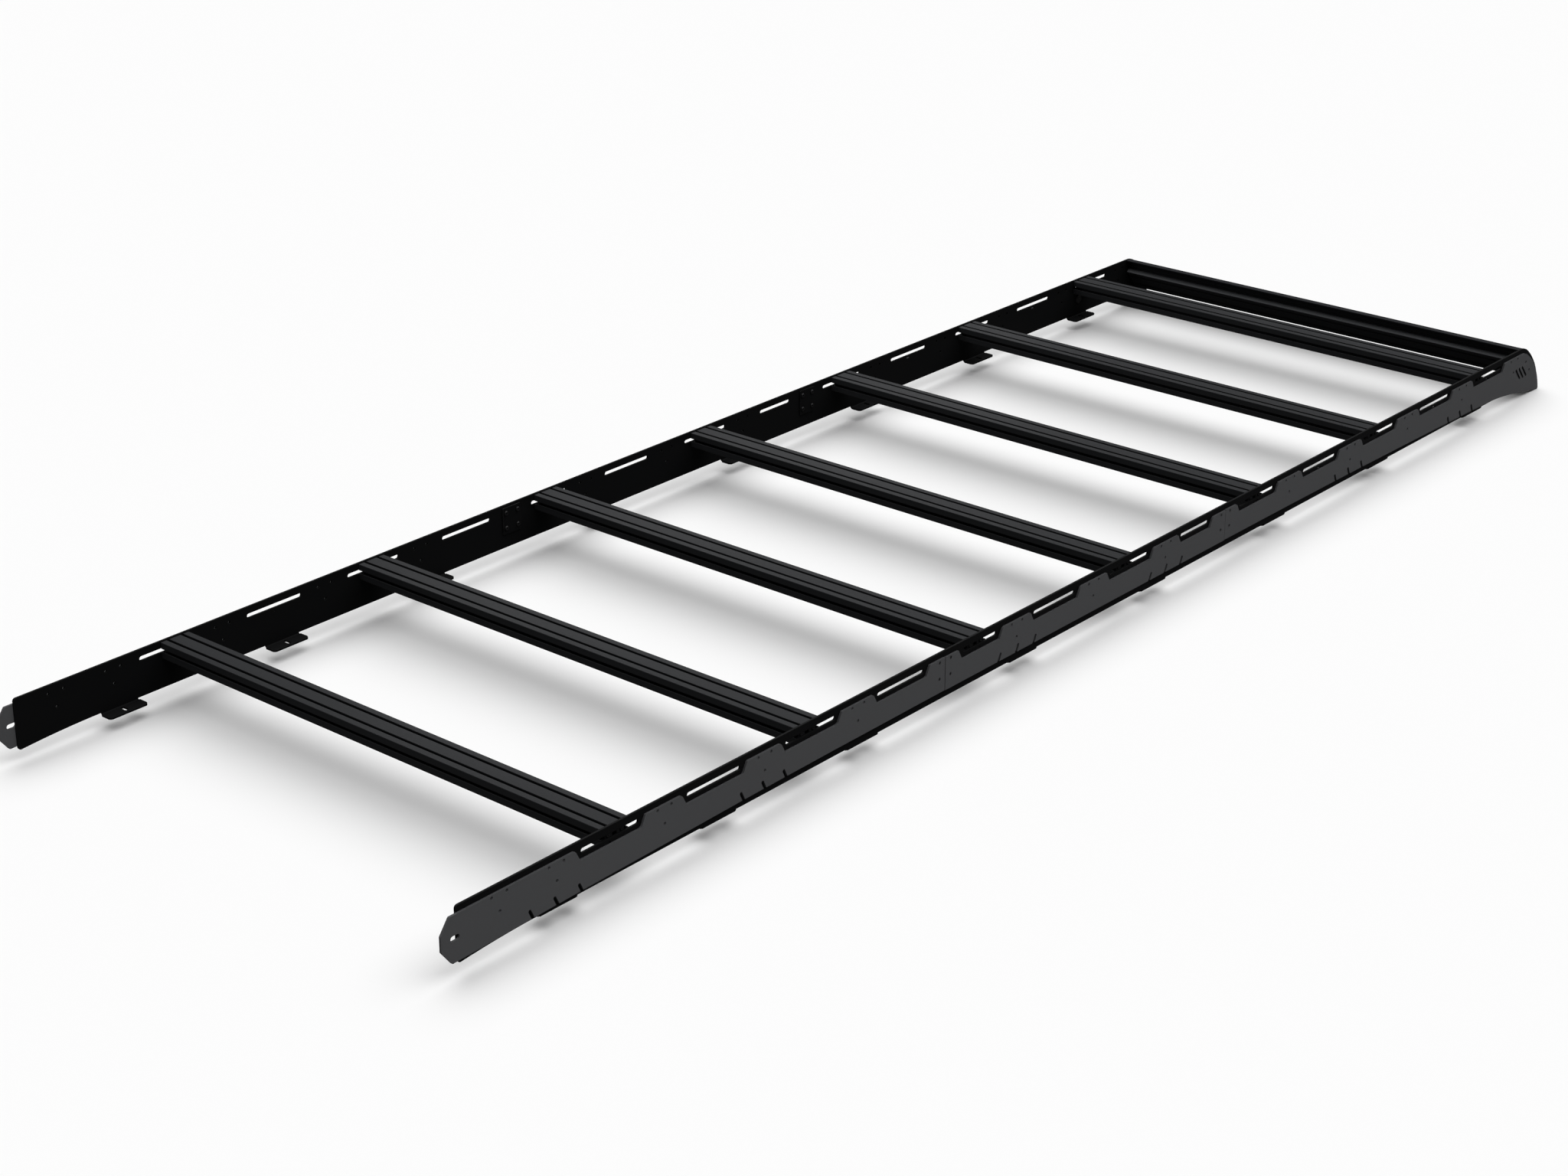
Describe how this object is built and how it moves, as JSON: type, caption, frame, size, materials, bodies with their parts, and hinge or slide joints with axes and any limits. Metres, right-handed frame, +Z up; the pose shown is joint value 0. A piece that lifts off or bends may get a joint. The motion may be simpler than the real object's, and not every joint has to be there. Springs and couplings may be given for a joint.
{
  "type": "ladder rack",
  "caption": "Roof ladder rack: long slotted side rails with bent feet, T-slot crossbars that slide along the slots, and a curved wind fairing between the rail noses.",
  "frame": {"origin": "under the middle of the rack, level with the lowest point of the rail noses", "axes": "+X across the rack to its right-hand rail, +Y along the rack towards the wind fairing, +Z up"},
  "size_m": [1.3334, 4.238, 0.145],
  "materials": {
    "plate_powder_coat": "satin black powder coat on sheet",
    "cover_powder_coat": "charcoal powder coat on sheet, fine texture",
    "fairing_powder_coat": "satin black powder coat on rolled sheet",
    "crossbar_anodised": "black anodised extrusion",
    "black_zinc": "black zinc",
    "grommet_rubber": "moulded rubber"
  },
  "bodies": {
    "rack_frame": {"left_side_plate_rear": "plate_powder_coat", "left_side_plate_middle": "plate_powder_coat", "left_side_plate_front": "plate_powder_coat", "right_side_plate_rear": "plate_powder_coat", "right_side_plate_middle": "plate_powder_coat", "right_side_plate_front": "plate_powder_coat", "left_cover_rear": "cover_powder_coat", "left_cover_middle": "cover_powder_coat", "left_cover_front": "cover_powder_coat", "right_cover_rear": "cover_powder_coat", "right_cover_middle": "cover_powder_coat", "right_cover_front": "cover_powder_coat", "left_splice_plate_rear": "plate_powder_coat", "left_splice_plate_front": "plate_powder_coat", "right_splice_plate_rear": "plate_powder_coat", "right_splice_plate_front": "plate_powder_coat", "left_wire_grommet": "grommet_rubber", "right_wire_grommet": "grommet_rubber", "splice_screws": "black_zinc", "nose_bar": "crossbar_anodised", "nose_bar_screws": "black_zinc", "wind_fairing": "fairing_powder_coat", "fairing_spacers": "black_zinc", "fairing_nuts": "black_zinc", "fairing_screws": "black_zinc"},
    "bar_1": {"crossbar_1": "crossbar_anodised", "crossbar_screws_1": "black_zinc"},
    "bar_2": {"crossbar_2": "crossbar_anodised", "crossbar_screws_2": "black_zinc"},
    "bar_3": {"crossbar_3": "crossbar_anodised", "crossbar_screws_3": "black_zinc"},
    "bar_4": {"crossbar_4": "crossbar_anodised", "crossbar_screws_4": "black_zinc"},
    "bar_5": {"crossbar_5": "crossbar_anodised", "crossbar_screws_5": "black_zinc"},
    "bar_6": {"crossbar_6": "crossbar_anodised", "crossbar_screws_6": "black_zinc"},
    "bar_7": {"crossbar_7": "crossbar_anodised", "crossbar_screws_7": "black_zinc"}
  },
  "joints": [
    {"name": "bar_1_slide", "type": "slide", "parent": "rack_frame", "child": "bar_1", "axis": [0, 1, 0], "range_m": [-0.0725, 0.0369]},
    {"name": "bar_2_slide", "type": "slide", "parent": "rack_frame", "child": "bar_2", "axis": [0, 1, 0], "range_m": [-0.0486, 0.0608]},
    {"name": "bar_3_slide", "type": "slide", "parent": "rack_frame", "child": "bar_3", "axis": [0, 1, 0], "range_m": [-0.0248, 0.0476]},
    {"name": "bar_4_slide", "type": "slide", "parent": "rack_frame", "child": "bar_4", "axis": [0, 1, 0], "range_m": [-0.0376, 0.0718]},
    {"name": "bar_5_slide", "type": "slide", "parent": "rack_frame", "child": "bar_5", "axis": [0, 1, 0], "range_m": [-0.0505, 0.0589]},
    {"name": "bar_6_slide", "type": "slide", "parent": "rack_frame", "child": "bar_6", "axis": [0, 1, 0], "range_m": [-0.0266, 0.0828]},
    {"name": "bar_7_slide", "type": "slide", "parent": "rack_frame", "child": "bar_7", "axis": [0, 1, 0], "range_m": [-0.0027, 0.1067]}
  ]
}
